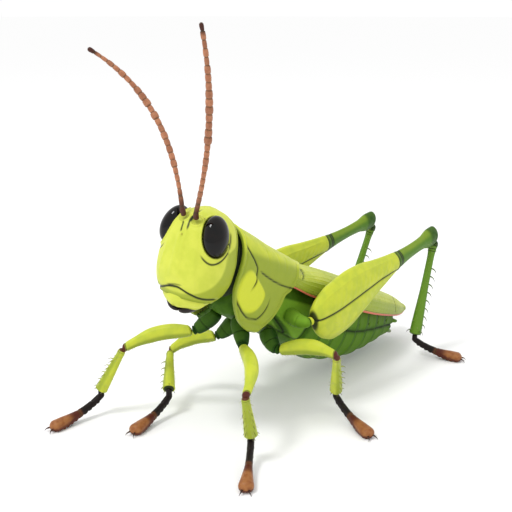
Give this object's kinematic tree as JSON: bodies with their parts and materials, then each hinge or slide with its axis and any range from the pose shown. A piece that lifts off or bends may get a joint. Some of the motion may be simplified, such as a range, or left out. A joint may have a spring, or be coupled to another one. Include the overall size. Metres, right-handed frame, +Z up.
{
  "type": "short-horned grasshopper, still life-size model",
  "caption": "Large green grasshopper standing with its head and forebody raised: rounded head, saddle-shaped pronotum, folded wings and long bent hind legs.",
  "frame": {"origin": "middle of the animal's outline seen from above, on the floor it stands on", "axes": "the head faces -Y, the animal's left is +X and +Z is up"},
  "size_m": [0.0296, 0.057, 0.0451],
  "materials": {
    "face_green": "satin shell",
    "leaf_green": "satin shell",
    "deep_green": "satin shell",
    "wing_green": "veined, leathery, satin",
    "knee_green": "satin shell",
    "foot_brown": "satin shell",
    "horn_brown": "satin, ringed",
    "dark_membrane": "soft, dull",
    "jaw_black": "polished horn",
    "eye_black": "glossy"
  },
  "bodies": {
    "root": {"head": "face_green", "labrum": "face_green", "pronotum": "leaf_green", "labium": "leaf_green", "palp_left": "leaf_green", "palp_right": "leaf_green", "femur_front_left": "leaf_green", "femur_front_right": "leaf_green", "femur_middle_left": "leaf_green", "femur_middle_right": "leaf_green", "femur_hind_left": "leaf_green", "femur_hind_right": "leaf_green", "tibia_front_left": "leaf_green", "tibia_front_right": "leaf_green", "tibia_middle_left": "leaf_green", "tibia_middle_right": "leaf_green", "thorax": "deep_green", "abdomen_1": "deep_green", "abdomen_2": "deep_green", "abdomen_3": "deep_green", "abdomen_4": "deep_green", "abdomen_5": "deep_green", "abdomen_6": "deep_green", "abdomen_7": "deep_green", "abdomen_8": "deep_green", "tail_plate": "deep_green", "ovipositor_upper": "deep_green", "ovipositor_lower": "deep_green", "cercus_left": "deep_green", "cercus_right": "deep_green", "coxa_front_left": "deep_green", "coxa_front_right": "deep_green", "coxa_middle_left": "deep_green", "coxa_middle_right": "deep_green", "coxa_hind_left": "deep_green", "coxa_hind_right": "deep_green", "forewing_left": "wing_green", "forewing_right": "wing_green", "tibia_hind_left": "knee_green", "tibia_hind_right": "knee_green", "tarsus_front_left": "foot_brown", "tarsus_front_right": "foot_brown", "tarsus_middle_left": "foot_brown", "tarsus_middle_right": "foot_brown", "tarsus_hind_left": "foot_brown", "tarsus_hind_right": "foot_brown", "antenna_left": "horn_brown", "antenna_right": "horn_brown", "neck": "dark_membrane", "mandible_left": "jaw_black", "mandible_right": "jaw_black", "eye_left": "eye_black", "eye_right": "eye_black"}
  },
  "joints": []
}
